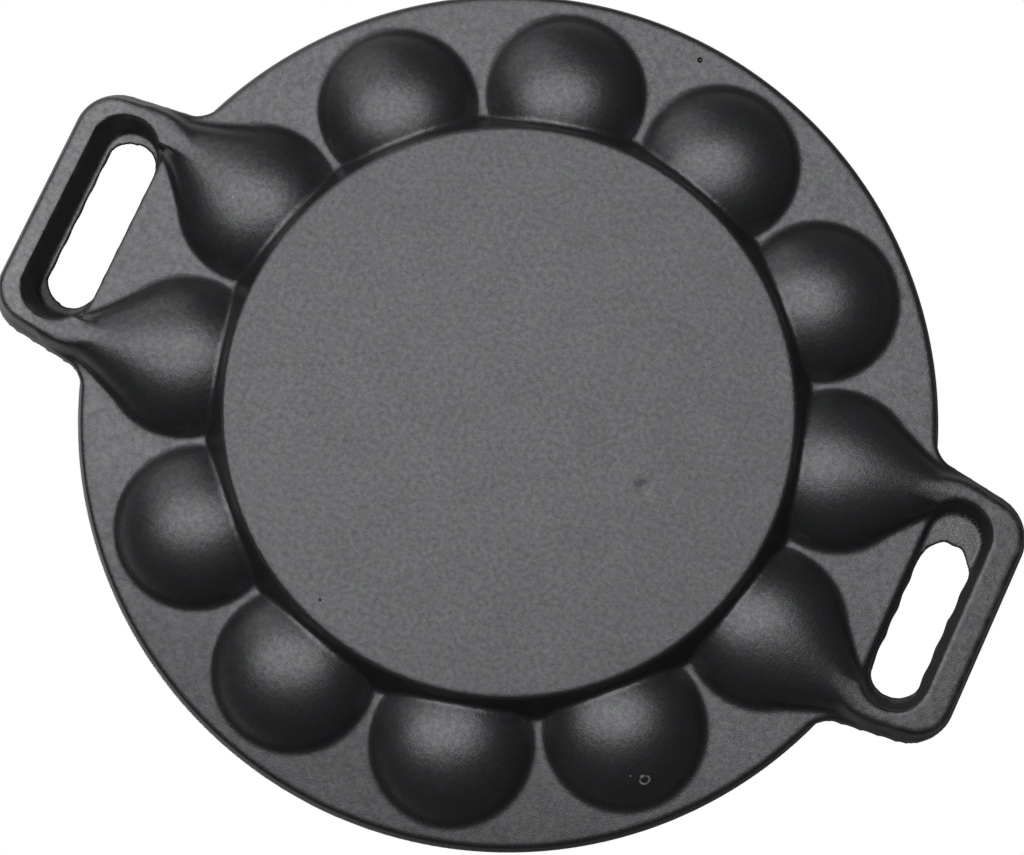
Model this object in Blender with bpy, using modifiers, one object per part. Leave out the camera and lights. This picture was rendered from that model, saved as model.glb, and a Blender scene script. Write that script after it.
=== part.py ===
"""A cast iron griddle pan, all one casting: a round plate with a wide well in the middle,
twelve round cups in a ring about the well, and a loop handle at each side.

Sizes are in metres. The cooking side faces +Z and the handles lie along X. The origin is the
middle of the well's flat underside, on which the pan rests.
"""
import math

import bmesh
import bpy

# Plate and the low rim round it. The outer side leans out as it rises, and so do the handles'
PLATE_THICKNESS = 0.005
PLATE_EDGE_ROUND = 0.0012
EDGE_LEAN = math.radians(17.4)
RIM_OVERHANG = 0.0003
RIM_HEIGHT = 0.003
RIM_WIDTH = 0.0045
RIM_ROUND = 0.001

# Well in the middle
WELL_DROP = 0.018
WELL_FACE_RADIUS = 0.103
WELL_WALL_LEAN = math.radians(24.5)
WELL_EDGE_ROUND = 0.0012
WELL_CORNER_ROUND = 0.006
WELL_WALL = 0.005

# Cups in a ring about the well
CUP_COUNT = 12
CUP_RING_RADIUS = 0.1215
CUP_RADIUS = 0.0294
CUP_SWELL = 0.003
CUP_DROP = 0.013
CUP_WALL = 0.005
CUP_MOUTH_BEVEL = 0.0015

# The plate carries the cups with a land outside them, and its radius is taken at its top
PLATE_LAND = 0.0081
PLATE_RADIUS = CUP_RING_RADIUS + CUP_RADIUS + PLATE_LAND

# Handles, one at each end of X, each a flat with a U-shaped bar under its edge
HANDLE_LENGTH = 0.0347
HANDLE_REACH = PLATE_RADIUS + HANDLE_LENGTH
HANDLE_HALF_WIDTH = 0.0493
HANDLE_CORNER_RADIUS = 0.0175
HANDLE_SPLAY = math.radians(7.5)
HANDLE_ROOT_FILLET = 0.005
BAR_DROP = 0.008
BAR_SETBACK = 0.0004
BAR_EDGE_ROUND = 0.0014
LEG_ROUND = 0.025
LEG_ROUND_SETBACK = 0.0287
LEG_START_WIDTH = 0.0075

# Finger slot in each handle: a pocket from below with the hole in its floor. Both holes stand a
# little toward +X, and the mouths of their pockets toward -X. A rough web fills the -Y end of the
# +X handle's hole
SLOT_SETBACK = 0.0165
SLOT_WIDTH = 0.0185
SLOT_LENGTH = 0.066
SLOT_END_FLAT = 0.001
HOLE_DRIFT = 0.0008
MOUTH_DRIFT = 0.0018
POCKET_SIDE_LEDGE = 0.0013
POCKET_END_LEDGE = 0.004
POCKET_FLOOR = 0.002
POCKET_SIDE_LEAN = math.radians(10)
POCKET_END_LEAN = math.radians(17)
SHORT_HOLE_FILL = 0.008
SHORT_HOLE_EXTRA = 0.0022

# Horns, which draw the two cups beside each handle out into its legs
HORN_TIP_SETBACK = 0.0276
HORN_TIP_CLEARANCE = 0.0004
HORN_TIP_DROP = 0.0072

# How finely the curves are cut into facets. The cups' steps keep their facets' lines off those of
# the well's wall
ROUND_STEPS = 80
CUP_STEPS = 22
CUP_RINGS = 4
ARC_STEPS = 4
EDGE_STEPS = 2
HORN_STEPS = 9

# Overlap of the shapes that are joined, and overshoot of those that are cut away
JOINT_DEPTH = PLATE_THICKNESS / 2
OVERSHOOT = 0.002
MERGE_DISTANCE = 0.00001

# Casting finish
IRON_COLOUR = (0.060, 0.060, 0.063, 1.0)
IRON_ROUGHNESS = 0.62
IRON_METALLIC = 0.7
SHARP_ANGLE = math.radians(35)

# Levels that follow from the sizes
UNDERSIDE = WELL_DROP
PLATE_TOP = UNDERSIDE + PLATE_THICKNESS
RIM_TOP = PLATE_TOP + RIM_HEIGHT
JOINT_LEVEL = UNDERSIDE + JOINT_DEPTH
CUP_FACE = UNDERSIDE - CUP_DROP
BAR_FACE = UNDERSIDE - BAR_DROP
SLOT_FLOOR = PLATE_TOP - POCKET_FLOOR


def clear_scene():
    for thing in list(bpy.data.objects):
        bpy.data.objects.remove(thing, do_unlink=True)


def new_collection(name):
    collection = bpy.data.collections.new(name)
    bpy.context.scene.collection.children.link(collection)
    return collection


def arc(centre, radius, start, end, steps=ARC_STEPS):
    """Points along an arc about a centre, with both its ends."""
    angles = [start + (end - start) * step / steps for step in range(steps + 1)]
    return [(centre[0] + radius * math.cos(a), centre[1] + radius * math.sin(a)) for a in angles]


def mirrored(outline):
    """An outline's mirror image across X, run backwards to carry the outline on."""
    return [(x, -y) for x, y in reversed(outline)]


def at_height(outline, height):
    return [(x, y, height) for x, y in outline]


def turned(name, profile, steps, closed=False):
    """A solid turned about Z from a profile of (radius, height), outer side top to bottom."""
    edges = [(i, i + 1) for i in range(len(profile) - 1)]
    if closed:
        edges.append((len(profile) - 1, 0))
    mesh = bpy.data.meshes.new(name)
    mesh.from_pydata([(radius, 0, height) for radius, height in profile], edges, [])
    solid = bpy.data.objects.new(name, mesh)
    screw = solid.modifiers.new("turn", "SCREW")
    screw.axis = "Z"
    screw.steps = steps
    screw.render_steps = steps
    screw.use_merge_vertices = True
    screw.merge_threshold = MERGE_DISTANCE
    return solid


def lofted(name, sections):
    """A closed solid through sections that have the same number of points each."""
    shape = bmesh.new()
    rings = [[shape.verts.new(point) for point in section] for section in sections]
    for near, far in zip(rings, rings[1:]):
        for i in range(len(near)):
            j = (i + 1) % len(near)
            shape.faces.new((near[i], near[j], far[j], far[i]))
    bmesh.ops.triangulate(shape, faces=shape.faces)
    shape.faces.new(rings[0])
    shape.faces.new(rings[-1])
    bmesh.ops.recalc_face_normals(shape, faces=shape.faces)
    mesh = bpy.data.meshes.new(name)
    shape.to_mesh(mesh)
    shape.free()
    return bpy.data.objects.new(name, mesh)


def combine(target, tool, operation, shapes):
    """Join a tool shape to the target, or cut it away."""
    shapes.objects.link(tool)
    tool.hide_render = True
    tool.display_type = "WIRE"
    boolean = target.modifiers.new(f"{operation.lower()} {tool.name}", "BOOLEAN")
    boolean.solver = "EXACT"
    boolean.operation = operation
    boolean.object = tool


def wall_radius(height, inward=0.0):
    """Radius of the well's leaning outer wall at a height, or of a line inward from it."""
    return WELL_FACE_RADIUS + height * math.tan(WELL_WALL_LEAN) - inward / math.cos(WELL_WALL_LEAN)


def rounded_foot(corner, radius):
    """The arc from the leaning wall, which comes down from above, in to a level floor."""
    turn = math.pi / 2 - WELL_WALL_LEAN
    centre = (corner[0] - radius * math.tan(turn / 2), corner[1] + radius)
    return arc(centre, radius, -WELL_WALL_LEAN, -math.pi / 2)


def well_tub():
    foot = rounded_foot((WELL_FACE_RADIUS, 0), WELL_EDGE_ROUND)
    profile = [(0, JOINT_LEVEL), (wall_radius(JOINT_LEVEL), JOINT_LEVEL), *foot, (0, 0)]
    return turned("well tub", profile, ROUND_STEPS)


def well_hollow():
    top = RIM_TOP + OVERSHOOT
    foot = rounded_foot((wall_radius(WELL_WALL, WELL_WALL), WELL_WALL), WELL_CORNER_ROUND)
    profile = [(0, top), (wall_radius(top, WELL_WALL), top), *foot, (0, WELL_WALL)]
    return turned("well hollow", profile, ROUND_STEPS)


def well_guard():
    """The well with its wall carried up, which keeps the cups' insides clear of that wall."""
    top = RIM_TOP + OVERSHOOT
    profile = [(0, top), (wall_radius(top), top), (wall_radius(0), 0), (0, 0)]
    return turned("well guard", profile, ROUND_STEPS)


def edge_inset(height):
    """How far the leaning outer side stands in at a height, from its place at the plate's top."""
    return (PLATE_TOP - height) * math.tan(EDGE_LEAN)


def leaning_edge(bottom, radius, setback=0.0):
    """Insets and heights round a lower edge, from the level face up onto the leaning side."""
    height = bottom + radius
    centre = (edge_inset(height) + setback + radius / math.cos(EDGE_LEAN), height)
    return arc(centre, radius, -math.pi / 2, EDGE_LEAN - math.pi, EDGE_STEPS)


def rim():
    """A rounded ring with its foot sunk in the plate."""
    shoulder, foot = RIM_TOP - RIM_ROUND, PLATE_TOP - RIM_OVERHANG
    outer = PLATE_RADIUS + RIM_OVERHANG - edge_inset(shoulder)
    inner = outer - RIM_WIDTH
    profile = arc((inner + RIM_ROUND, shoulder), RIM_ROUND, math.pi, math.pi / 2, EDGE_STEPS)
    profile += arc((outer - RIM_ROUND, shoulder), RIM_ROUND, math.pi / 2, 0, EDGE_STEPS)
    profile += [(PLATE_RADIUS + RIM_OVERHANG - edge_inset(foot), foot)]
    sunk = PLATE_RADIUS - edge_inset(JOINT_LEVEL) - RIM_ROUND
    profile += [(sunk, JOINT_LEVEL), (inner - RIM_ROUND, JOINT_LEVEL)]
    return turned("rim", profile, ROUND_STEPS, closed=True)


def handle_corner(inset):
    """Outer corner of a handle on its +Y side, from the end face round to the leg's side."""
    centre = (HANDLE_REACH - HANDLE_CORNER_RADIUS, HANDLE_HALF_WIDTH - HANDLE_CORNER_RADIUS)
    return arc(centre, HANDLE_CORNER_RADIUS - inset, 0, math.pi / 2 - HANDLE_SPLAY)


def leg_side(x, inset):
    """Half width of a handle at x, on the straight outer side of its leg."""
    corner = handle_corner(inset)[-1]
    return corner[1] + (corner[0] - x) * math.tan(HANDLE_SPLAY)


def root_fillet_centre():
    """Centre of the fillet that touches a leg's outer side and the round plate."""
    normal = (math.sin(HANDLE_SPLAY), math.cos(HANDLE_SPLAY))
    along = (-normal[1], normal[0])
    corner = handle_corner(0)[-1]
    start = [corner[axis] + HANDLE_ROOT_FILLET * normal[axis] for axis in (0, 1)]
    half = start[0] * along[0] + start[1] * along[1]
    rest = start[0] ** 2 + start[1] ** 2 - (PLATE_RADIUS + HANDLE_ROOT_FILLET) ** 2
    run = -half - math.sqrt(half ** 2 - rest)
    return start[0] + run * along[0], start[1] + run * along[1]


def plate_outline(inset):
    """Outline of the plate with both handles, moved inward by an inset."""
    centre = root_fillet_centre()
    bearing = math.atan2(centre[1], centre[0])
    fillet = arc(centre, HANDLE_ROOT_FILLET + inset, -math.pi / 2 - HANDLE_SPLAY, bearing - math.pi)
    steps = round((math.pi / 2 - bearing) * ROUND_STEPS / (2 * math.pi))
    side = arc((0, 0), PLATE_RADIUS - inset, bearing, math.pi / 2, steps)
    quarter = handle_corner(inset) + fillet + side[1:]
    half = quarter + [(-x, y) for x, y in reversed(quarter[:-1])]
    return half + [(-x, -y) for x, y in half]


def plate():
    """The plate and the flats of both handles, with a rounded lower edge."""
    edge = leaning_edge(UNDERSIDE, PLATE_EDGE_ROUND)
    sections = [at_height(plate_outline(inset), height) for inset, height in edge]
    return lofted("plate", [*sections, at_height(plate_outline(0), PLATE_TOP)])


def bowl_ellipse(half_width, drop):
    """Half axes and middle height of the ellipse that a round bottom of a size follows."""
    share = math.sqrt(1 - (CUP_RADIUS / (CUP_RADIUS + CUP_SWELL)) ** 2)
    depth = drop / (1 - share)
    return half_width * (1 + CUP_SWELL / CUP_RADIUS), depth, UNDERSIDE + depth * share


def bowl_curve(ellipse, top, steps, both_sides=False):
    """Points down an ellipse from a level to its lowest point, or on up the far side."""
    half_width, depth, middle = ellipse
    start = math.asin((middle - top) / depth)
    end = math.pi - start if both_sides else math.pi / 2
    angles = [start + (end - start) * step / steps for step in range(steps + 1)]
    return [(half_width * math.cos(a), middle - depth * math.sin(a)) for a in angles]


def cup_bottom():
    """The round underside of a cup, with its top sunk in the plate."""
    curve = bowl_curve(bowl_ellipse(CUP_RADIUS, CUP_DROP), JOINT_LEVEL, CUP_RINGS)
    return turned("cup bottom", [(0, JOINT_LEVEL), *curve], CUP_STEPS)


def cup_hollow():
    """The inside of a cup, one wall in from its underside, with a bevelled mouth."""
    half_width, depth, middle = bowl_ellipse(CUP_RADIUS, CUP_DROP)
    inside = (half_width - CUP_WALL, depth - CUP_WALL, middle)
    curve = bowl_curve(inside, PLATE_TOP - CUP_MOUTH_BEVEL, CUP_RINGS)
    top = PLATE_TOP + OVERSHOOT
    mouth = curve[0][0] + CUP_MOUTH_BEVEL + OVERSHOOT
    return turned("cup hollow", [(0, top), (mouth, top), *curve], CUP_STEPS)


def ring_place(number):
    """Where a cup's axis stands. Each handle is midway between two cups."""
    bearing = (number + 0.5) * 2 * math.pi / CUP_COUNT
    return CUP_RING_RADIUS * math.cos(bearing), CUP_RING_RADIUS * math.sin(bearing)


def in_cup_ring(solid, numbers):
    """A solid and its copies, one at each cup of the numbers."""
    solids = [solid] + [solid.copy() for number in numbers[1:]]
    for number, each in zip(numbers, solids):
        each.location = (*ring_place(number), 0)
    return solids


def turned_round(solid):
    """A solid made for the +X handle, turned round to the -X handle."""
    solid.rotation_euler = (0, 0, math.pi)
    return solid


def at_both_handles(solid):
    return [solid, turned_round(solid.copy())]


def slot_span():
    """X of the slot's two long sides, before it drifts."""
    outer = HANDLE_REACH - SLOT_SETBACK
    return outer - SLOT_WIDTH, outer


def slot_outline(growth, reaches, drift):
    """The slot's rounded outline, grown at its sides, with its reaches toward -Y and +Y."""
    inner, outer = slot_span()
    radius = (SLOT_WIDTH - SLOT_END_FLAT) / 2 + growth
    low, high = drift + inner - growth + radius, drift + outer + growth - radius
    bottom, top = radius - reaches[0], reaches[1] - radius
    points = []
    for quarter, centre in enumerate([(high, top), (low, top), (low, bottom), (high, bottom)]):
        points += arc(centre, radius, quarter * math.pi / 2, (quarter + 1) * math.pi / 2)
    return points


def pocket_reach(height):
    """How far a pocket reaches toward -Y and +Y at a height, where its end walls lean out."""
    lean = (SLOT_FLOOR - height) * math.tan(POCKET_END_LEAN)
    return SLOT_LENGTH / 2 + POCKET_END_LEDGE + lean


def slot(reaches, way):
    """Cutter for a handle's pocket and the hole through its floor, drifted along X a way."""
    sections = []
    for height in (CUP_FACE - OVERSHOOT, SLOT_FLOOR):
        below = SLOT_FLOOR - height
        growth = POCKET_SIDE_LEDGE + below * math.tan(POCKET_SIDE_LEAN)
        drift = -way * MOUTH_DRIFT * below / (SLOT_FLOOR - BAR_FACE)
        outline = slot_outline(growth, (pocket_reach(height), pocket_reach(height)), drift)
        sections.append(at_height(outline, height))
    hole = slot_outline(0, reaches, way * HOLE_DRIFT)
    sections += [at_height(hole, SLOT_FLOOR), at_height(hole, PLATE_TOP + OVERSHOOT)]
    return lofted("slot", sections)


def bar_inner_side():
    """X and half width of a bar's inner side, a little inside the pocket that trims it."""
    return (slot_span()[1] + POCKET_SIDE_LEDGE - OVERSHOOT,
            SLOT_LENGTH / 2 + POCKET_END_LEDGE - OVERSHOOT)


def leg_start(inset):
    """The round that brings a leg's outer side in to the crest of the horn, where it's buried."""
    tangent_x = HANDLE_REACH - LEG_ROUND_SETBACK
    normal = math.pi / 2 - HANDLE_SPLAY
    centre = (tangent_x - LEG_ROUND * math.cos(normal),
              leg_side(tangent_x, 0) - LEG_ROUND * math.sin(normal))
    rise = bar_inner_side()[1] + LEG_START_WIDTH - centre[1]
    return arc(centre, LEG_ROUND - inset, math.pi - math.asin(rise / LEG_ROUND), normal)


def bar_outline(inset):
    """The U of a handle's bar: its outer side, and an inner side that the slot then trims."""
    start = leg_start(inset)
    outer = [*start, *reversed(handle_corner(inset))]
    radius = (SLOT_WIDTH - SLOT_END_FLAT) / 2 + POCKET_SIDE_LEDGE - OVERSHOOT
    inner_x, inner_y = bar_inner_side()
    corner = arc((inner_x - radius, inner_y - radius), radius, 0, math.pi / 2)
    inner = [*corner, (start[0][0], inner_y)]
    return outer + mirrored(outer) + mirrored(inner) + inner


def bar():
    """The bar that stands down from a handle's edge, with a rounded outer edge."""
    edge = leaning_edge(BAR_FACE, BAR_EDGE_ROUND, BAR_SETBACK)
    edge.append((edge_inset(JOINT_LEVEL) + BAR_SETBACK, JOINT_LEVEL))
    return lofted("bar", [at_height(bar_outline(inset), height) for inset, height in edge])


def horn_path():
    """A horn's course in plan, from the cup's axis to the middle of the handle's leg."""
    tip_x = HANDLE_REACH - HORN_TIP_SETBACK
    leg_outer = leg_side(tip_x, edge_inset(BAR_FACE))
    return ring_place(0), (tip_x, (pocket_reach(BAR_FACE) + leg_outer) / 2)


def horn_tip_half_width():
    """Half width of a horn's tip, which stays clear of the leg's outer side."""
    tip_x, tip_y = horn_path()[1]
    return leg_side(tip_x, edge_inset(UNDERSIDE)) - HORN_TIP_CLEARANCE - tip_y


def cup_ellipses():
    """Distances back from a cup's axis, with the ellipse of the round underside at each."""
    half_width, depth, middle = bowl_ellipse(CUP_RADIUS, CUP_DROP)
    top_radius = half_width * math.sqrt(1 - ((middle - JOINT_LEVEL) / depth) ** 2)
    steps = CUP_STEPS // 4
    for step in range(1, steps):
        back = top_radius * math.cos(math.pi / 2 * step / steps)
        share = math.sqrt(1 - (back / half_width) ** 2)
        yield -back, (half_width * share, depth * share, middle)


def horn_ellipses(length):
    """Distances on from the cup's axis, with the ellipse that a horn has drawn down to at each."""
    tip_half_width = horn_tip_half_width()
    for step in range(HORN_STEPS + 1):
        share = step / HORN_STEPS
        fullness = (1 + math.cos(math.pi * share)) / 2
        half = tip_half_width + (CUP_RADIUS - tip_half_width) * fullness
        drop = HORN_TIP_DROP + (CUP_DROP - HORN_TIP_DROP) * fullness
        yield length * share, bowl_ellipse(half, drop)


def horned_cup(side):
    """The underside of a cup beside the +X handle, drawn out into its horn, in one loft."""
    start, tip = horn_path()
    length = math.dist(start, tip)
    along = ((tip[0] - start[0]) / length, (tip[1] - start[1]) / length)
    sections = []
    for run, ellipse in [*cup_ellipses(), *horn_ellipses(length)]:
        x, y = start[0] + along[0] * run, start[1] + along[1] * run
        curve = bowl_curve(ellipse, JOINT_LEVEL, 2 * CUP_RINGS, both_sides=True)
        sections.append([(x - along[1] * off, side * (y + along[0] * off), z) for off, z in curve])
    return lofted("horned cup", sections)


def iron():
    material = bpy.data.materials.new("cast iron")
    material.use_nodes = True
    surface = material.node_tree.nodes["Principled BSDF"]
    surface.inputs["Base Color"].default_value = IRON_COLOUR
    surface.inputs["Roughness"].default_value = IRON_ROUGHNESS
    surface.inputs["Metallic"].default_value = IRON_METALLIC
    return material


def finish(casting, shapes):
    """Keep the casting's finished surface, shade it, and put the construction shapes away."""
    graph = bpy.context.evaluated_depsgraph_get()
    mesh = bpy.data.meshes.new_from_object(casting.evaluated_get(graph))
    shape = bmesh.new()
    shape.from_mesh(mesh)
    bmesh.ops.remove_doubles(shape, verts=shape.verts, dist=MERGE_DISTANCE)
    bmesh.ops.dissolve_degenerate(shape, edges=shape.edges, dist=MERGE_DISTANCE)
    bmesh.ops.triangulate(shape, faces=shape.faces)
    shape.to_mesh(mesh)
    shape.free()
    mesh.shade_smooth()
    mesh.set_sharp_from_angle(angle=SHARP_ANGLE)
    mesh.materials.clear()
    mesh.materials.append(iron())
    casting.modifiers.clear()
    casting.data = mesh
    for tool in list(shapes.objects):
        bpy.data.objects.remove(tool, do_unlink=True)
    bpy.data.collections.remove(shapes)


def cast_pan():
    clear_scene()
    pan = new_collection("griddle_pan")
    shapes = new_collection("construction shapes")
    casting = plate()
    casting.name = "pan_casting"
    pan.objects.link(casting)
    cups = list(range(CUP_COUNT))
    beside_handles = (0, CUP_COUNT // 2 - 1, CUP_COUNT // 2, CUP_COUNT - 1)
    round_cups = in_cup_ring(cup_bottom(), [cup for cup in cups if cup not in beside_handles])
    horned_cups = [solid for side in (1, -1) for solid in at_both_handles(horned_cup(side))]
    for solid in [well_tub(), rim(), *round_cups, *horned_cups, *at_both_handles(bar())]:
        combine(casting, solid, "UNION", shapes)
    hollow = cup_hollow()
    combine(hollow, well_guard(), "DIFFERENCE", shapes)
    half = SLOT_LENGTH / 2
    short_slot = slot((half - SHORT_HOLE_FILL, half + SHORT_HOLE_EXTRA), 1)
    slots = [short_slot, turned_round(slot((half, half), -1))]
    for solid in [well_hollow(), *in_cup_ring(hollow, cups), *slots]:
        combine(casting, solid, "DIFFERENCE", shapes)
    finish(casting, shapes)


cast_pan()
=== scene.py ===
"""Looks of the griddle pan: the casting as one fine surface with the fillets and the skin that
sand casting leaves, on a pale floor in soft studio light, seen from below.

Sizes are in metres. The cooking side faces +Z, the handles lie along X, and the pan rests on
Z = 0.
"""
import math

import bpy
import numpy as np
import openvdb
from mathutils import Euler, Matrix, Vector

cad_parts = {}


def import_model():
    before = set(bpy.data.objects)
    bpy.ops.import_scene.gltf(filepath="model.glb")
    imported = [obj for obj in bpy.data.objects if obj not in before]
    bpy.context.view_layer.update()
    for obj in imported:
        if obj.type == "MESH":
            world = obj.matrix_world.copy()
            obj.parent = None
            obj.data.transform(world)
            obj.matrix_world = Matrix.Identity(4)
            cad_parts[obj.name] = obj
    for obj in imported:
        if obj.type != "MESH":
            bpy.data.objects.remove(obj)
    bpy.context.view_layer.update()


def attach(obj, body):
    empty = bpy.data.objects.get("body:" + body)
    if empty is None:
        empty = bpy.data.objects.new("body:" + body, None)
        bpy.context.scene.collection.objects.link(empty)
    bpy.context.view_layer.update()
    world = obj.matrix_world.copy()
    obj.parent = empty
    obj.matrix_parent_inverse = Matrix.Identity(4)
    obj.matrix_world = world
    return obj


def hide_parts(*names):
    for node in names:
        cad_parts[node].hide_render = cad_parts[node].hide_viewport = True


NODE = "pan_casting"

# Plate and the low rim round it. The outer side leans out as it rises, and so do the handles'
PLATE_THICKNESS = 0.005
PLATE_EDGE_ROUND = 0.0012
EDGE_LEAN = math.radians(17.4)
RIM_OVERHANG = 0.0003
RIM_HEIGHT = 0.003
RIM_WIDTH = 0.0045
RIM_ROUND = 0.001

# Well in the middle
WELL_DROP = 0.018
WELL_FACE_RADIUS = 0.103
WELL_WALL_LEAN = math.radians(24.5)
WELL_EDGE_ROUND = 0.0008
WELL_CORNER_ROUND = 0.006
WELL_WALL = 0.005

# Cups in a ring about the well
CUP_COUNT = 12
CUP_RING_RADIUS = 0.1215
CUP_RADIUS = 0.0294
CUP_SWELL = 0.003
CUP_DROP = 0.013
CUP_WALL = 0.005
CUP_MOUTH_ROUND = 0.0012
CUP_CORNER_ROUND = 0.002

# The plate carries the cups with a land outside them, and its radius is taken at its top
PLATE_LAND = 0.0081
PLATE_RADIUS = CUP_RING_RADIUS + CUP_RADIUS + PLATE_LAND

# Handles, one at each end of X
HANDLE_LENGTH = 0.0347
HANDLE_REACH = PLATE_RADIUS + HANDLE_LENGTH
HANDLE_HALF_WIDTH = 0.0493
HANDLE_CORNER_RADIUS = 0.0175
HANDLE_SPLAY = math.radians(7.5)
HANDLE_ROOT_FILLET = 0.005
BAR_DROP = 0.008
BAR_SETBACK = 0.0004
BAR_EDGE_ROUND = 0.0014
LEG_ROUND = 0.025
LEG_ROUND_SETBACK = 0.0287

# Finger slot in each handle. Both holes stand a little toward +X, and the mouths of their pockets
# toward -X
SLOT_SETBACK = 0.0165
SLOT_WIDTH = 0.0185
SLOT_LENGTH = 0.066
SLOT_END_FLAT = 0.001
HOLE_DRIFT = 0.0008
MOUTH_DRIFT = 0.0018
POCKET_SIDE_LEDGE = 0.0013
POCKET_END_LEDGE = 0.004
POCKET_FLOOR = 0.002
POCKET_SIDE_LEAN = math.radians(10)
POCKET_END_LEAN = math.radians(17)
POCKET_OVERLAP = 0.002
SHORT_HOLE_FILL = 0.008
SHORT_HOLE_EXTRA = 0.0022

# Horns, which draw the two cups beside each handle out into its legs
HORN_TIP_SETBACK = 0.0276
HORN_TIP_CLEARANCE = 0.0004
HORN_TIP_DROP = 0.0072

# Fillets of the casting
CUP_FILLET = 0.0014
WALL_FILLET = 0.0012
LEG_FILLET = 0.0018
HORN_FADE = 0.3
SLOT_EDGE_ROUND = 0.0007

# Unevenness of the casting: the waves along the edges of the holes, the lumps on the web, and a
# shallow dimple in the well's face
WAVE_LENGTH = 0.011
WAVE_HEIGHT = 0.00022
LUMP_LENGTH = 0.0067
LUMP_HEIGHT = 0.0003
DIMPLE_PLACE = (0.0550, 0.0054)
DIMPLE_RADIUS = 0.0024
DIMPLE_DEPTH = 0.0005

# Relief of the skin: the sizes of its grains and clouds, and their heights
GRAIN_SIZE = 0.0006
GRAIN_HEIGHT = 0.00005
COARSE_GRAIN_SIZE = 0.0019
COARSE_GRAIN_HEIGHT = 0.00008
CLOUD_SIZE = 0.02
CLOUD_HEIGHT = 0.00008

# Colours of the iron and of its sheen. A span is the part of a noise, from 0 to 1, over which a
# look goes from one end to the other
NOISE_SPAN = (0.3, 0.7)
IRON_DARK = (0.008, 0.008, 0.009, 1)
IRON_LIGHT = (0.015, 0.0145, 0.016, 1)
TINT_SIZE = 0.006
TINT_SPAN = (0.38, 0.62)
TINT_SHARE = 0.4
IRON_VIOLET = (0.013, 0.011, 0.016, 1)
IRON_GREEN = (0.010, 0.013, 0.010, 1)
SHEEN_VIOLET = (0.97, 0.94, 1.0, 1)
SHEEN_GREEN = (0.95, 0.97, 0.99, 1)

# Strength of the sheen, low in the grains' hollows and high on their tops, and its roughness
COARSE_SHARE = 0.68
SHEEN_SPAN = (0.35, 0.65)
SHEEN_LOW = 0.42
SHEEN_HIGH = 0.74
ROUGH_LOW = 0.34
ROUGH_HIGH = 0.38

# Places where the sheen differs: the well's face, the bars of the -X and the +X handle, the plate
# toward +Y and a ledge in the -X slot, where less sheen is painted shade, and the pits
FACE_SHEEN = 0.88
BAR_SHEENS = (1.22, 0.88)
PLATE_SHADE_SHEEN = 0.66
PLATE_SHADE_START = 0.080
PLATE_SHADE_FULL = 0.140
PLATE_SHADE_DEPTH = 0.002
LEDGE_SHADE_SHEEN = 0.25
SHADED_LEDGE_PLACE = (-0.1725, 0.0330, 0.0210)
SHADED_LEDGE_REACH = 0.015
PIT_SHEEN = 0.4

# Walls of the finger slots, which have no sheen, so that no lamp shows reflected in them, and get a
# lighter colour, painted light in place of that sheen. A wall is told by how upright its normal is,
# from 0 for a level one, and by how near it is to the slot
WALL_PAINTED_LIGHT_COLOUR = (0.034, 0.033, 0.035, 1)
WALL_FULL = 0.31
WALL_NONE = 0.40
WALL_REACH = 0.006

# Marks on the skin: dark pits and light specks, each a place and a radius, a broken light ring, and
# wear on the handles. A mark is full over its core, the inner share of its radius
MARK_CORE = 1 / 3
PITS = (((-0.0322, 0.0902, 0.0), 0.0006), ((0.0086, -0.1509, 0.018), 0.0012),
        ((-0.0721, 0.1407, 0.018), 0.0011), ((-0.0456, 0.1541, 0.018), 0.0009))
PIT_COLOUR = (0.003, 0.003, 0.003, 1)
PIT_HEIGHT = 0.0004
SPECKS = (((-0.1244, -0.0282, 0.0057), 0.0006), ((0.0980, 0.0987, 0.0086), 0.0007),
          ((0.0942, 0.1003, 0.0082), 0.0004))
SPECK_COLOUR = (0.22, 0.21, 0.19, 1)
RING_PLACE = (0.0996, 0.0994, 0.0094)
RING_RADIUS = 0.0017
RING_WIDTH = 0.0005
RING_SPAN = (0.35, 0.55)
WEAR_SIZE = 0.005
WEAR_SPAN = (0.42, 0.68)
WEAR_COLOUR = (0.034, 0.032, 0.030, 1)

# Crust on the web in the +X slot, which ends a little below the slot's floor
CRUST_PLACE = (0.1700, -0.0300, 0.0215)
CRUST_RADIUS = 0.0125
CRUST_DEPTHS = (0.002, 0.001)
CRUST_SIZE = 0.0007
CRUST_SPAN = (0.48, 0.66)
CRUST_DARK = (0.006, 0.007, 0.006, 1)
CRUST_LIGHT = (0.110, 0.110, 0.085, 1)

# Fineness of the surface
VOXEL = 0.0009
MARGIN = 4 * VOXEL

# Levels that follow from the sizes
UNDERSIDE = WELL_DROP
PLATE_TOP = UNDERSIDE + PLATE_THICKNESS
RIM_TOP = PLATE_TOP + RIM_HEIGHT
JOINT_LEVEL = UNDERSIDE + PLATE_THICKNESS / 2
BAR_FACE = UNDERSIDE - BAR_DROP
SLOT_FLOOR = PLATE_TOP - POCKET_FLOOR
SLOT_OUTER = HANDLE_REACH - SLOT_SETBACK
SLOT_MIDDLE = SLOT_OUTER - SLOT_WIDTH / 2
SLOT_END_RADIUS = (SLOT_WIDTH - SLOT_END_FLAT) / 2
FULL_REACHES = (SLOT_LENGTH / 2, SLOT_LENGTH / 2)
SHORT_REACHES = (SLOT_LENGTH / 2 - SHORT_HOLE_FILL, SLOT_LENGTH / 2 + SHORT_HOLE_EXTRA)

# Camera, from below and a little to one side, as in the photograph
CAMERA_PLACE = (0.02242, 0.06235, -0.65457)
CAMERA_TURN = (-174.832, 0.595, -24.963)
CAMERA_LENS = 64.59
CAMERA_SENSOR = 36

# Light of the studio's walls: on the -X side, on the +X side and below the floor's level, and the
# spans of a direction's X and Z over which it changes
STUDIO_LEFT = 0.65
STUDIO_RIGHT = 0.12
STUDIO_BELOW = 0.04
STUDIO_X_SPAN = (-0.6, 0.3)
STUDIO_Z_SPAN = (-0.05, 0.15)

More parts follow.
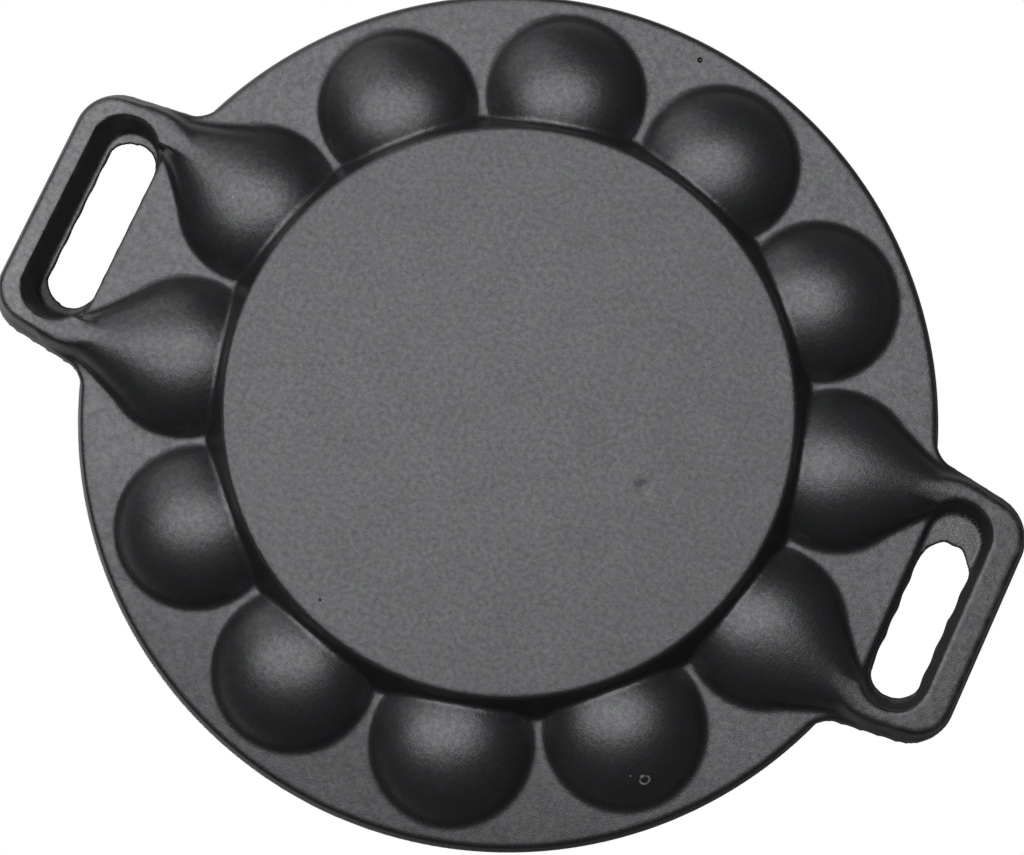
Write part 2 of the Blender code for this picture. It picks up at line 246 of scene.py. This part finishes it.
# Lamps, each a name, a place, a width, a height and a power
KEY_LAMP = ("key from below", (-1.038, -0.357, -3.95), 5.6, 3.4, 215)
SOFT_LAMPS = (("fill from below", (-2.25, -1.30, -1.50), 2.8, 2.8, 26),
              ("soft light from above", (-0.4, 0.3, 3.0), 1.6, 1.6, 62))

# Floor, which fades to white between two distances from the pan
FLOOR_REACH = 3
FLOOR_COLOUR = (0.8, 0.8, 0.8, 1)
FLOOR_ROUGHNESS = 0.9
FLOOR_NEAR = 0.6
FLOOR_FAR = 2.4


# Distance fields: negative inside, positive outside

def round_union(a, b, radius):
    """Two forms joined, with a fillet where they meet."""
    corner = np.hypot(np.maximum(radius - a, 0), np.maximum(radius - b, 0))
    return np.maximum(radius, np.minimum(a, b)) - corner


def round_meet(a, b, radius):
    """What two forms share, with a rounded edge where they meet."""
    return -round_union(-a, -b, radius)


def round_cut(a, b, radius):
    """A form less another, with a rounded edge where they meet."""
    return -round_union(-a, b, radius)


def ellipse_distance(offsets, half_axes):
    """Distance to an ellipse or ellipsoid, true close to its surface."""
    share = np.sqrt(sum((offset / axis) ** 2 for offset, axis in zip(offsets, half_axes)))
    slope = np.sqrt(sum((offset / axis ** 2) ** 2 for offset, axis in zip(offsets, half_axes)))
    return share * (share - 1) / slope


def rounded_box(x, y, half_x, half_y, radius):
    """Plan distance to a box with round corners about the origin."""
    over_x, over_y = np.abs(x) - half_x + radius, np.abs(y) - half_y + radius
    outside = np.hypot(np.maximum(over_x, 0), np.maximum(over_y, 0))
    return outside + np.minimum(np.maximum(over_x, over_y), 0) - radius


# Forms of the casting, in the quarter where x and y are positive

def handle_plan(x, y):
    """A handle with straight splayed sides and round corners."""
    over = x - (HANDLE_REACH - HANDLE_CORNER_RADIUS)
    up = y - (HANDLE_HALF_WIDTH - HANDLE_CORNER_RADIUS)
    past_side = over * math.sin(HANDLE_SPLAY) + up * math.cos(HANDLE_SPLAY)
    at_corner = (up > 0) & (over * math.cos(HANDLE_SPLAY) > up * math.sin(HANDLE_SPLAY))
    return np.where(at_corner, np.hypot(over, up), np.maximum(over, past_side)) - HANDLE_CORNER_RADIUS


def plate_plan(x, y):
    """The round plate with its handles."""
    disc = np.hypot(x, y) - PLATE_RADIUS
    return round_union(disc, handle_plan(x, y), HANDLE_ROOT_FILLET)


def leaning_side(plan, z, setback=0.0):
    """Distance to a side that leans out as it rises, from its plan at the plate's top."""
    return (plan + (PLATE_TOP - z) * math.tan(EDGE_LEAN) + setback) * math.cos(EDGE_LEAN)


def plate(x, y, z):
    """The plate and the handles' flats, with a round lower edge."""
    slab = round_meet(leaning_side(plate_plan(x, y), z), UNDERSIDE - z, PLATE_EDGE_ROUND)
    return np.maximum(slab, z - PLATE_TOP)


def rim(x, y, z):
    """The low rim round the plate."""
    height = RIM_TOP - JOINT_LEVEL
    from_side = leaning_side(np.hypot(x, y) - PLATE_RADIUS, z, -RIM_OVERHANG)
    from_middle = from_side + RIM_WIDTH / 2
    return rounded_box(from_middle, z - (RIM_TOP - height / 2), RIM_WIDTH / 2, height / 2, RIM_ROUND)


def well_wall(x, y, z, inward=0.0):
    """Distance outward from the well's leaning wall, or from a line inward from it."""
    at_height = WELL_FACE_RADIUS + z * math.tan(WELL_WALL_LEAN)
    return (np.hypot(x, y) - at_height) * math.cos(WELL_WALL_LEAN) + inward


def well_tub(x, y, z):
    """The outside of the well, filled up to the plate."""
    return np.maximum(round_meet(well_wall(x, y, z), -z, WELL_EDGE_ROUND), z - JOINT_LEVEL)


def well_hollow(x, y, z):
    """The inside of the well."""
    return round_meet(well_wall(x, y, z, WELL_WALL), WELL_WALL - z, WELL_CORNER_ROUND)


def bowl_ellipse(half_width, drop):
    """Half axes and middle height of the ellipse that a round bottom of a size follows."""
    share = math.sqrt(1 - (CUP_RADIUS / (CUP_RADIUS + CUP_SWELL)) ** 2)
    depth = drop / (1 - share)
    return half_width * (1 + CUP_SWELL / CUP_RADIUS), depth, UNDERSIDE + depth * share


def cup_place(number):
    """The middle of a cup in plan."""
    bearing = (number + 0.5) * 2 * math.pi / CUP_COUNT
    return CUP_RING_RADIUS * math.cos(bearing), CUP_RING_RADIUS * math.sin(bearing)


def cup_bottom(x, y, z, number):
    """The outside of a cup, filled up to the plate."""
    place = cup_place(number)
    half_width, depth, middle = bowl_ellipse(CUP_RADIUS, CUP_DROP)
    offsets = (x - place[0], y - place[1], z - middle)
    return np.maximum(ellipse_distance(offsets, (half_width, half_width, depth)), z - JOINT_LEVEL)


def cup_hollow(x, y, z, number):
    """The inside of a cup, clear of the well's wall carried up beside it."""
    place = cup_place(number)
    half_width, depth, middle = bowl_ellipse(CUP_RADIUS, CUP_DROP)
    offsets = (x - place[0], y - place[1], np.minimum(z - middle, 0))
    half_axes = (half_width - CUP_WALL, half_width - CUP_WALL, depth - CUP_WALL)
    bowl = ellipse_distance(offsets, half_axes)
    return round_meet(bowl, -well_wall(x, y, z), CUP_CORNER_ROUND)


def leg_side(x, inset):
    """Half width of a handle at x, on the straight outer side of its leg."""
    reach = HANDLE_CORNER_RADIUS - inset
    corner_x = HANDLE_REACH - HANDLE_CORNER_RADIUS + reach * math.sin(HANDLE_SPLAY)
    corner_y = HANDLE_HALF_WIDTH - HANDLE_CORNER_RADIUS + reach * math.cos(HANDLE_SPLAY)
    return corner_y + (corner_x - x) * math.tan(HANDLE_SPLAY)


def leg_plan(x, y):
    """A handle's plan, with its legs' outer sides brought in round to the crests of the horns."""
    tangent_x = HANDLE_REACH - LEG_ROUND_SETBACK
    over = x - (tangent_x - LEG_ROUND * math.sin(HANDLE_SPLAY))
    up = y - (leg_side(tangent_x, 0) - LEG_ROUND * math.cos(HANDLE_SPLAY))
    at_round = over * math.cos(HANDLE_SPLAY) < up * math.sin(HANDLE_SPLAY)
    return np.where(at_round, np.hypot(over, up) - LEG_ROUND, handle_plan(x, y))


def horn_tip():
    """Where a horn ends, in the middle of the handle's leg."""
    x = HANDLE_REACH - HORN_TIP_SETBACK
    lean = (SLOT_FLOOR - BAR_FACE) * math.tan(POCKET_END_LEAN)
    leg_inner = SLOT_LENGTH / 2 + POCKET_END_LEDGE + lean
    leg_outer = leg_side(x, (PLATE_TOP - BAR_FACE) * math.tan(EDGE_LEAN))
    return x, (leg_inner + leg_outer) / 2


def horn(x, y, z):
    """The first cup's section, drawn down along a straight course to the leg's."""
    start, tip = cup_place(0), horn_tip()
    length = math.dist(start, tip)
    leg_outer = leg_side(tip[0], PLATE_THICKNESS * math.tan(EDGE_LEAN))
    tip_half_width = leg_outer - HORN_TIP_CLEARANCE - tip[1]
    along = ((tip[0] - start[0]) / length, (tip[1] - start[1]) / length)
    run = (x - start[0]) * along[0] + (y - start[1]) * along[1]
    off = (y - start[1]) * along[0] - (x - start[0]) * along[1]
    fullness = (1 + np.cos(math.pi * np.clip(run / length, 0, 1))) / 2
    half = tip_half_width + (CUP_RADIUS - tip_half_width) * fullness
    drop = HORN_TIP_DROP + (CUP_DROP - HORN_TIP_DROP) * fullness
    half_width, depth, middle = bowl_ellipse(half, drop)
    section = ellipse_distance((off, z - middle), (half_width, depth))
    beyond = np.maximum(-run, HORN_FADE * (run - length))
    return np.maximum(np.maximum(section, beyond), z - JOINT_LEVEL)


def bar(x, y, z):
    """The U-shaped bar under a handle's edge, before its slot is cut."""
    side = leaning_side(leg_plan(x, y), z, BAR_SETBACK)
    solid = round_meet(side, BAR_FACE - z, BAR_EDGE_ROUND)
    inner_x = SLOT_OUTER + POCKET_SIDE_LEDGE - POCKET_OVERLAP
    inner_y = SLOT_LENGTH / 2 + POCKET_END_LEDGE - POCKET_OVERLAP
    radius = SLOT_END_RADIUS + POCKET_SIDE_LEDGE - POCKET_OVERLAP
    opening = rounded_box(np.maximum(x, 0), y, inner_x, inner_y, radius)
    solid = round_cut(solid, opening, SLOT_EDGE_ROUND)
    return np.maximum(solid, z - JOINT_LEVEL)


def quarter_casting(x, y, z):
    """A quarter of the casting, before the finger slots are cut."""
    solid = round_union(plate(x, y, z), well_tub(x, y, z), WALL_FILLET)
    horned = np.minimum(cup_bottom(x, y, z, 0), horn(x, y, z))
    horned = round_union(horned, bar(x, y, z), LEG_FILLET)
    for cup in (horned, cup_bottom(x, y, z, 1), cup_bottom(x, y, z, 2)):
        solid = round_union(solid, cup, CUP_FILLET)
    solid = np.maximum(solid, leaning_side(plate_plan(x, y), z))
    solid = np.minimum(solid, rim(x, y, z))
    solid = round_cut(solid, well_hollow(x, y, z), CUP_MOUTH_ROUND)
    for number in range(CUP_COUNT // 4):
        solid = round_cut(solid, cup_hollow(x, y, z, number), CUP_MOUTH_ROUND)
    return solid


def finger_slot(x, y, z, reaches, way):
    """The pocket under the +X handle and the hole in its floor, drifted along X a way."""
    x = x - SLOT_MIDDLE
    below = np.maximum(SLOT_FLOOR - z, 0)
    lean = below * math.tan(POCKET_SIDE_LEAN)
    drift = way * MOUTH_DRIFT * below / (SLOT_FLOOR - BAR_FACE)
    half_x = SLOT_WIDTH / 2 + POCKET_SIDE_LEDGE + lean
    half_y = SLOT_LENGTH / 2 + POCKET_END_LEDGE + below * math.tan(POCKET_END_LEAN)
    pocket = rounded_box(x + drift, y, half_x, half_y, SLOT_END_RADIUS + POCKET_SIDE_LEDGE + lean)
    pocket = round_meet(pocket, z - SLOT_FLOOR, SLOT_EDGE_ROUND)
    half_y, middle_y = sum(reaches) / 2, (reaches[1] - reaches[0]) / 2
    hole = rounded_box(x - way * HOLE_DRIFT, y - middle_y, SLOT_WIDTH / 2, half_y, SLOT_END_RADIUS)
    return np.minimum(pocket, hole + unevenness(x, y, reaches))


def unevenness(x, y, reaches):
    """How far a hole's edge stands in: waves along its sides, out of step with each other, and
    lumps on the web at one end."""
    waves = WAVE_HEIGHT * np.sin(math.tau * y / WAVE_LENGTH + np.sign(x))
    lumps = LUMP_HEIGHT * np.sin(math.tau * x / LUMP_LENGTH + 1) * (y < 0)
    return waves + lumps * (reaches[0] != reaches[1])


def dimple(x, y, z):
    """The ball that presses the shallow dimple into the well's face."""
    radius = (DIMPLE_RADIUS ** 2 + DIMPLE_DEPTH ** 2) / (2 * DIMPLE_DEPTH)
    over = (x - DIMPLE_PLACE[0]) ** 2 + (y - DIMPLE_PLACE[1]) ** 2
    return np.sqrt(over + (z + radius - DIMPLE_DEPTH) ** 2) - radius


def with_mirror(values, axis, sign=1):
    """Values of the positive half along an axis, with the other half before them."""
    return np.concatenate([sign * np.flip(values, axis), values], axis)


def casting_field():
    """The whole casting's distance field, with its lowest corner."""
    def reach_to(size):
        return (np.arange(math.ceil((size + MARGIN) / VOXEL), dtype=np.float32) + 0.5) * VOXEL
    x = reach_to(HANDLE_REACH)[:, None, None]
    y = reach_to(PLATE_RADIUS + RIM_OVERHANG)[None, :, None]
    z = (reach_to(RIM_TOP + MARGIN) - MARGIN)[None, None, :]
    field = with_mirror(with_mirror(quarter_casting(x, y, z), 0), 1)
    x, y = with_mirror(x, 0, -1), with_mirror(y, 1, -1)
    near = slice(np.searchsorted(x[:, 0, 0], cup_place(0)[0]), None)
    for way, reaches in ((1, SHORT_REACHES), (-1, FULL_REACHES)):
        handle = field[near] if way == 1 else np.flip(field, (0, 1))[near]
        handle[...] = round_cut(handle, finger_slot(x[near], y, z, reaches, way), SLOT_EDGE_ROUND)
    face = np.s_[:, :, :np.searchsorted(z[0, 0], WELL_WALL)]
    field[face] = round_cut(field[face], dimple(x, y, z[0, 0, :][face[2]]), DIMPLE_DEPTH)
    return field, (x[0, 0, 0], y[0, 0, 0], z[0, 0, 0])


def mesh_of(name, field, corner):
    """The surface where a distance field is zero."""
    grid = openvdb.FloatGrid(MARGIN)
    grid.copyFromArray(np.ascontiguousarray(field))
    points, quads = grid.convertToQuads(isovalue=0.0)
    points = points * VOXEL + np.array(corner, dtype=np.float32)
    mesh = bpy.data.meshes.new(name)
    mesh.vertices.add(len(points))
    mesh.vertices.foreach_set("co", points.astype(np.float32).ravel())
    mesh.loops.add(quads.size)
    mesh.loops.foreach_set("vertex_index", quads.astype(np.int32)[:, ::-1].ravel())
    mesh.polygons.add(len(quads))
    starts = np.arange(0, quads.size, quads.shape[1], dtype=np.int32)
    mesh.polygons.foreach_set("loop_start", starts)
    mesh.update(calc_edges=True)
    mesh.shade_smooth()
    return mesh


def casting():
    """The casting's surface, shown in place of the solid."""
    field, corner = casting_field()
    piece = bpy.data.objects.new("pan_surface", mesh_of("pan_surface", field, corner))
    bpy.context.collection.objects.link(piece)
    piece.data.materials.append(iron())
    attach(piece, "root")
    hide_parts(NODE)
    return piece


# Looks of the iron

class Nodes:
    """Short ways to add and join shader nodes in a material or in the world."""

    def __init__(self, owner):
        self.tree = owner.node_tree

    def add(self, kind, settings=None, **inputs):
        """A node with its properties set and each named input set, or joined to an output."""
        node = self.tree.nodes.new(kind)
        for name, value in (settings or {}).items():
            setattr(node, name, value)
        for name, value in inputs.items():
            self.put(node.inputs[name.replace("_", " ")], value)
        return node

    def put(self, socket, value):
        """An input joined to an output, or set to a value."""
        if isinstance(value, bpy.types.NodeSocket):
            self.tree.links.new(value, socket)
        else:
            socket.default_value = value

    def maths(self, operation, *values, clamp=False):
        """The result of one operation on values or outputs."""
        node = self.add("ShaderNodeMath", {"operation": operation, "use_clamp": clamp})
        for socket, value in zip(node.inputs, values):
            self.put(socket, value)
        return node.outputs[0]

    def axes(self, vector):
        """The X, Y and Z of a vector."""
        return self.add("ShaderNodeSeparateXYZ", Vector=vector).outputs

    def noise(self, place, size, detail=2.0, roughness=0.5):
        """Noise from 0 to 1 whose lumps are about a size across, in metres."""
        node = self.add("ShaderNodeTexNoise", Vector=place, Scale=1 / size, Detail=detail,
                        Roughness=roughness)
        return node.outputs["Fac"]

    def between(self, value, low, high, to_low=0.0, to_high=1.0, smooth=False):
        """A value's share of a range, eased or straight, spread over another range."""
        kind = "SMOOTHSTEP" if smooth else "LINEAR"
        node = self.add("ShaderNodeMapRange", {"interpolation_type": kind}, Value=value)
        for name, bound in (("From Min", low), ("From Max", high), ("To Min", to_low),
                            ("To Max", to_high)):
            self.put(node.inputs[name], bound)
        return node.outputs["Result"]

    def mix(self, share, first, second):
        """Two colours mixed by a share."""
        node = self.add("ShaderNodeMix", {"data_type": "RGBA"})
        for index, value in ((0, share), (6, first), (7, second)):
            self.put(node.inputs[index], value)
        return node.outputs[2]

    def mix_shaders(self, share, first, second):
        """Two shaders mixed by a share."""
        node = self.add("ShaderNodeMixShader")
        for index, value in enumerate((share, first, second)):
            self.put(node.inputs[index], value)
        return node.outputs[0]

    def bump(self, relief, height, normal=None):
        """The normal over a relief from 0 to 1 of a height, on top of another normal if given."""
        node = self.add("ShaderNodeBump", Height=relief, Distance=height)
        if normal is not None:
            self.put(node.inputs["Normal"], normal)
        return node.outputs["Normal"]


def distance_from(nodes, place, centre):
    """How far a place is from a centre."""
    node = nodes.add("ShaderNodeVectorMath", {"operation": "DISTANCE"})
    nodes.put(node.inputs[0], place)
    nodes.put(node.inputs[1], centre)
    return node.outputs["Value"]


def spots(nodes, place, marks):
    """The strength of a few soft round marks, 1 at their middles."""
    strength = 0.0
    for centre, radius in marks:
        off = distance_from(nodes, place, centre)
        spot = nodes.between(off, radius, radius * MARK_CORE, smooth=True)
        strength = nodes.maths("MAXIMUM", strength, spot)
    return strength


def light_marks(nodes, place, coarse):
    """The specks, and the broken light ring."""
    off = nodes.maths("SUBTRACT", distance_from(nodes, place, RING_PLACE), RING_RADIUS)
    ring = nodes.between(nodes.maths("ABSOLUTE", off), RING_WIDTH, 0)
    ring = nodes.maths("MULTIPLY", ring, nodes.between(coarse, *RING_SPAN))
    return nodes.maths("MAXIMUM", ring, spots(nodes, place, SPECKS))


def worn(nodes, place):
    """How worn the skin is: in blotches, on the handles alone."""
    reach = nodes.maths("ABSOLUTE", nodes.axes(place)[0])
    past_plate = nodes.between(reach, PLATE_RADIUS, SLOT_OUTER, smooth=True)
    blotches = nodes.between(nodes.noise(place, WEAR_SIZE, detail=3), *WEAR_SPAN, smooth=True)
    return nodes.maths("MULTIPLY", past_plate, blotches)


def crusty(nodes, place):
    """Where the rough crust lies: on the web alone, not on the pocket's walls."""
    near = nodes.between(distance_from(nodes, place, CRUST_PLACE), CRUST_RADIUS, CRUST_RADIUS / 2)
    low, high = (SLOT_FLOOR - depth for depth in CRUST_DEPTHS)
    return nodes.maths("MULTIPLY", near, nodes.between(nodes.axes(place)[2], low, high))


def within(nodes, value, middle, reach):
    """1 where a value, whatever its sign, lies within a reach of a middle."""
    off = nodes.maths("SUBTRACT", nodes.maths("ABSOLUTE", value), middle)
    return nodes.maths("LESS_THAN", nodes.maths("ABSOLUTE", off), reach)


def slot_walls(nodes, place):
    """Where the surface is a finger slot's wall: nearly upright, by its normal, and in a slot."""
    normal = nodes.add("ShaderNodeTexCoord").outputs["Normal"]
    rise = nodes.maths("ABSOLUTE", nodes.axes(normal)[2])
    upright = nodes.between(rise, WALL_NONE, WALL_FULL, smooth=True)
    x, y, _ = nodes.axes(place)
    in_x = within(nodes, x, SLOT_MIDDLE, SLOT_WIDTH / 2 + WALL_REACH)
    in_y = within(nodes, y, 0, SLOT_LENGTH / 2 + POCKET_END_LEDGE + WALL_REACH)
    return nodes.maths("MULTIPLY", upright, nodes.maths("MULTIPLY", in_x, in_y))


def grain_sheen(nodes, grain, coarse):
    """The sheen of the skin, by both its grains."""
    fine_part = nodes.maths("MULTIPLY", grain, 1 - COARSE_SHARE)
    coarse_part = nodes.maths("MULTIPLY", coarse, COARSE_SHARE)
    both = nodes.maths("ADD", fine_part, coarse_part)
    return nodes.between(both, *SHEEN_SPAN, SHEEN_LOW, SHEEN_HIGH)


def local_sheen(nodes, place, pits):
    """How the sheen differs by place: on the well's face, on each handle's bar, on the plate toward
    +Y and on a ledge in one slot, where less sheen is painted shade, and in the pits."""
    x, y, z = nodes.axes(place)
    sheen = nodes.between(z, 0, WELL_EDGE_ROUND, FACE_SHEEN, 1)
    for way, factor in zip((-1, 1), BAR_SHEENS):
        on_bar = nodes.between(x, way * SLOT_MIDDLE, way * SLOT_OUTER, 1, factor)
        sheen = nodes.maths("MULTIPLY", sheen, on_bar)
    # Painted shade: from its underside up, the plate loses sheen toward +Y
    plate_shade = nodes.between(y, PLATE_SHADE_START, PLATE_SHADE_FULL, 1, PLATE_SHADE_SHEEN)
    painted_plate_shade = nodes.between(z, UNDERSIDE - PLATE_SHADE_DEPTH, UNDERSIDE, 1, plate_shade)
    sheen = nodes.maths("MULTIPLY", sheen, painted_plate_shade)
    # Painted shade: a ledge in the -X slot loses most of its sheen
    off = distance_from(nodes, place, SHADED_LEDGE_PLACE)
    painted_ledge_shade = nodes.between(off, SHADED_LEDGE_REACH / 2, SHADED_LEDGE_REACH, LEDGE_SHADE_SHEEN, 1)
    sheen = nodes.maths("MULTIPLY", sheen, painted_ledge_shade)
    return nodes.maths("MULTIPLY", sheen, nodes.between(pits, 0, 1, 1, PIT_SHEEN))


def iron_colour(nodes, place, grain, tint, pits, lights, walls):
    """The iron's colour, from its grain and tints to the painted light on the slot walls, its wear,
    crust and marks.
    """
    colour = nodes.mix(nodes.between(grain, *NOISE_SPAN), IRON_DARK, IRON_LIGHT)
    colour = nodes.mix(TINT_SHARE, colour, nodes.mix(tint, IRON_VIOLET, IRON_GREEN))
    # Painted light: the slot walls get a lighter colour in place of their sheen
    colour = nodes.mix(walls, colour, WALL_PAINTED_LIGHT_COLOUR)
    colour = nodes.mix(worn(nodes, place), colour, WEAR_COLOUR)
    specks = nodes.between(nodes.noise(place, CRUST_SIZE, detail=3, roughness=0.7), *CRUST_SPAN)
    colour = nodes.mix(crusty(nodes, place), colour, nodes.mix(specks, CRUST_DARK, CRUST_LIGHT))
    colour = nodes.mix(lights, colour, SPECK_COLOUR)
    return nodes.mix(pits, colour, PIT_COLOUR)


def skin_normal(nodes, grain, coarse, clouds, pits):
    """The skin's normal, over its clouds, both its grains and its pits."""
    normal = nodes.bump(clouds, CLOUD_HEIGHT)
    normal = nodes.bump(coarse, COARSE_GRAIN_HEIGHT, normal)
    normal = nodes.bump(grain, GRAIN_HEIGHT, normal)
    return nodes.bump(nodes.maths("SUBTRACT", 1.0, pits), PIT_HEIGHT, normal)


def iron():
    """Seasoned sand-cast iron: fine grain, faint clouds and tints, wear and a few marks."""
    material = bpy.data.materials.new("seasoned iron")
    material.use_nodes = True
    nodes = Nodes(material)
    place = nodes.add("ShaderNodeTexCoord").outputs["Object"]
    grain = nodes.noise(place, GRAIN_SIZE, detail=2, roughness=0.6)
    coarse = nodes.noise(place, COARSE_GRAIN_SIZE, detail=3, roughness=0.6)
    clouds = nodes.noise(place, CLOUD_SIZE, detail=3)
    tint = nodes.between(nodes.noise(place, TINT_SIZE, detail=3), *TINT_SPAN)
    pits, lights = spots(nodes, place, PITS), light_marks(nodes, place, coarse)
    walls = slot_walls(nodes, place)

    sheen = grain_sheen(nodes, grain, coarse)
    sheen = nodes.maths("MULTIPLY", sheen, local_sheen(nodes, place, pits))
    # The slot walls lose their sheen, so that no lamp shows reflected in them
    sheen = nodes.maths("MULTIPLY", sheen, nodes.maths("SUBTRACT", 1.0, walls))
    surface = nodes.tree.nodes["Principled BSDF"].inputs
    nodes.put(surface["Base Color"], iron_colour(nodes, place, grain, tint, pits, lights, walls))
    nodes.put(surface["Roughness"], nodes.between(clouds, *NOISE_SPAN, ROUGH_LOW, ROUGH_HIGH))
    nodes.put(surface["Specular IOR Level"], sheen)
    nodes.put(surface["Specular Tint"], nodes.mix(tint, SHEEN_VIOLET, SHEEN_GREEN))
    nodes.put(surface["Normal"], skin_normal(nodes, grain, coarse, clouds, pits))
    return material


# The studio: floor, world, lamps and camera

def pale_floor():
    """A pale look that shows only to a camera above it, and fades to white far off."""
    material = bpy.data.materials.new("pale floor")
    material.use_nodes = True
    nodes = Nodes(material)
    surface = nodes.tree.nodes["Principled BSDF"]
    nodes.put(surface.inputs["Base Color"], FLOOR_COLOUR)
    nodes.put(surface.inputs["Roughness"], FLOOR_ROUGHNESS)
    place = nodes.add("ShaderNodeTexCoord").outputs["Object"]
    far = nodes.between(distance_from(nodes, place, (0, 0, 0)), FLOOR_NEAR, FLOOR_FAR, smooth=True)
    white = nodes.add("ShaderNodeEmission", Strength=1.0)
    look = nodes.mix_shaders(far, surface.outputs[0], white.outputs[0])
    seen = nodes.maths("SUBTRACT", nodes.add("ShaderNodeLightPath").outputs["Is Camera Ray"],
                       nodes.add("ShaderNodeNewGeometry").outputs["Backfacing"], clamp=True)
    clear = nodes.add("ShaderNodeBsdfTransparent").outputs[0]
    output = nodes.tree.nodes["Material Output"]
    nodes.put(output.inputs["Surface"], nodes.mix_shaders(seen, clear, look))
    return material


def floor():
    """A square of floor about the pan."""
    mesh = bpy.data.meshes.new("floor")
    low, high = -FLOOR_REACH, FLOOR_REACH
    corners = [(low, low, 0), (high, low, 0), (high, high, 0), (low, high, 0)]
    mesh.from_pydata(corners, [], [(0, 1, 2, 3)])
    mesh.materials.append(pale_floor())
    ground = bpy.data.objects.new("floor", mesh)
    bpy.context.collection.objects.link(ground)


def world():
    """White behind the pan for the camera, and the dimmer light of a studio for the rest."""
    sky = bpy.data.worlds.new("white studio")
    bpy.context.scene.world = sky
    sky.use_nodes = True
    nodes = Nodes(sky)
    x, _, z = nodes.axes(nodes.add("ShaderNodeTexCoord").outputs["Generated"])
    above = nodes.between(x, *STUDIO_X_SPAN, STUDIO_LEFT, STUDIO_RIGHT)
    light = nodes.between(z, *STUDIO_Z_SPAN, STUDIO_BELOW, above)
    to_camera = nodes.add("ShaderNodeLightPath").outputs["Is Camera Ray"]
    back = nodes.tree.nodes["Background"].inputs
    nodes.put(back["Color"], (1, 1, 1, 1))
    nodes.put(back["Strength"], nodes.between(to_camera, 0, 1, light, 1))


def lamp(name, place, width, height, power, turn=None):
    """A soft oval lamp, which faces the pan unless it is given a turn."""
    light = bpy.data.lights.new(name, "AREA")
    light.shape = "ELLIPSE"
    light.size = width
    light.size_y = height
    light.energy = power
    body = bpy.data.objects.new(name, light)
    body.location = place
    body.rotation_euler = turn or (-Vector(place)).to_track_quat("-Z", "Y").to_euler()
    bpy.context.collection.objects.link(body)


def camera_turn():
    """The camera's turn, which the key lamp shares."""
    return Euler([math.radians(turn) for turn in CAMERA_TURN], "XYZ")


def camera():
    """The camera, at the photograph's place below the pan."""
    lens = bpy.data.cameras.new("camera")
    lens.sensor_width = CAMERA_SENSOR
    lens.lens = CAMERA_LENS
    eye = bpy.data.objects.new("camera", lens)
    eye.location = CAMERA_PLACE
    eye.rotation_euler = camera_turn()
    bpy.context.collection.objects.link(eye)
    bpy.context.scene.camera = eye


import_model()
bpy.context.scene.view_settings.view_transform = "Standard"
camera()
casting()
floor()
world()
lamp(*KEY_LAMP, camera_turn())
for soft_lamp in SOFT_LAMPS:
    lamp(*soft_lamp)
